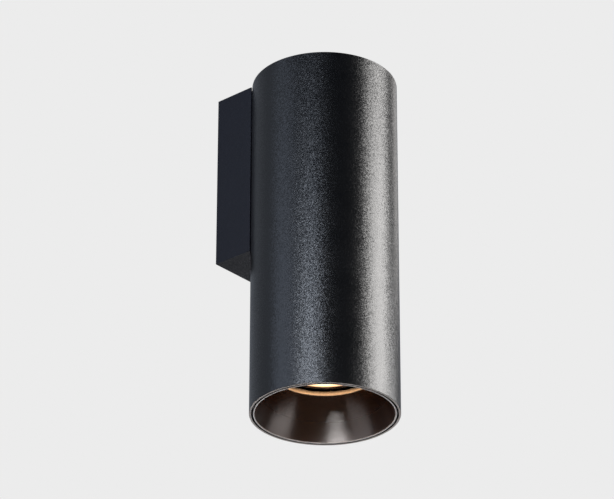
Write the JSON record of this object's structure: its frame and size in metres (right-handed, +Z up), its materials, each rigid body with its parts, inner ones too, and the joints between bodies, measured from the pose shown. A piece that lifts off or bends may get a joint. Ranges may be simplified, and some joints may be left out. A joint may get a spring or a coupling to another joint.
{
  "type": "wall sconce",
  "caption": "Cylindrical downlight for a wall: round tube on a shallow wall box, open at the bottom with a conical reflector and a twist-lock reflector lamp.",
  "frame": {"origin": "middle of the box's back, on the wall plane", "axes": "+Z up along the tube, +Y into the wall, +X to the right seen from the room"},
  "size_m": [0.08, 0.094, 0.198],
  "materials": {
    "black_powder_coat": "fine-textured black powder coat on aluminium",
    "dark_satin_cone": "satin dark brown coating on spun aluminium",
    "plain_aluminium": "bare turned aluminium",
    "zinc_steel": "zinc-plated steel",
    "black_steel": "black oxide steel",
    "spring_steel": "stainless spring strip",
    "black_rubber": "moulded rubber",
    "steatite": "opaque fired ceramic, unglazed",
    "bronze": "phosphor bronze strip",
    "tinned_brass": "tin-plated brass",
    "terminal_plastic": "moulded polyamide",
    "brown_insulation": "silicone insulation over copper",
    "blue_insulation": "silicone insulation over copper",
    "green_yellow_insulation": "silicone insulation over copper",
    "lamp_grey": "die-cast lamp body, light grey",
    "lamp_black": "dark moulded front ring",
    "lamp_white": "moulded white plastic",
    "frosted_lens": "frosted polycarbonate, lit warm white",
    "board_white": "white solder mask on aluminium board",
    "phosphor": "yellow phosphor"
  },
  "bodies": {
    "fixture": {"tube": "black_powder_coat", "top_cap": "black_powder_coat", "wall_box": "black_powder_coat", "wall_bracket": "zinc_steel", "box_lock_screws": "black_steel", "cable_bush": "black_rubber", "tube_fixing_screws": "zinc_steel", "tube_fixing_washers": "zinc_steel", "clamp_block": "plain_aluminium", "clamp_nuts": "zinc_steel", "holder_bracket": "zinc_steel", "lampholder": "steatite", "holder_cap": "steatite", "holder_contacts": "bronze", "holder_screws": "zinc_steel", "lead_grommet": "black_rubber", "terminal_block": "terminal_plastic", "terminal_screws": "zinc_steel", "terminal_fixing_screw": "zinc_steel", "earth_tag": "tinned_brass", "earth_screw": "zinc_steel", "lead_live": "brown_insulation", "lead_neutral": "blue_insulation", "lead_earth": "green_yellow_insulation"},
    "reflector_unit": {"reflector": "dark_satin_cone", "neck_ring": "plain_aluminium", "reflector_springs": "spring_steel", "spring_screws": "zinc_steel"},
    "lamp": {"lamp_body": "lamp_grey", "lamp_rim": "lamp_black", "lamp_lens": "frosted_lens", "lamp_base": "lamp_white", "lamp_pins": "tinned_brass", "led_board": "board_white", "led_chips": "phosphor"}
  },
  "joints": [
    {"name": "reflector_pull", "type": "slide", "parent": "fixture", "child": "reflector_unit", "axis": [0, 0, -1], "range_m": [0, 0.045]},
    {"name": "lamp_turn", "type": "hinge", "parent": "fixture", "child": "lamp", "pos_m": [0, -0.054, -0.0667], "axis": [0, 0, -1], "range_deg": [0, 30]}
  ]
}
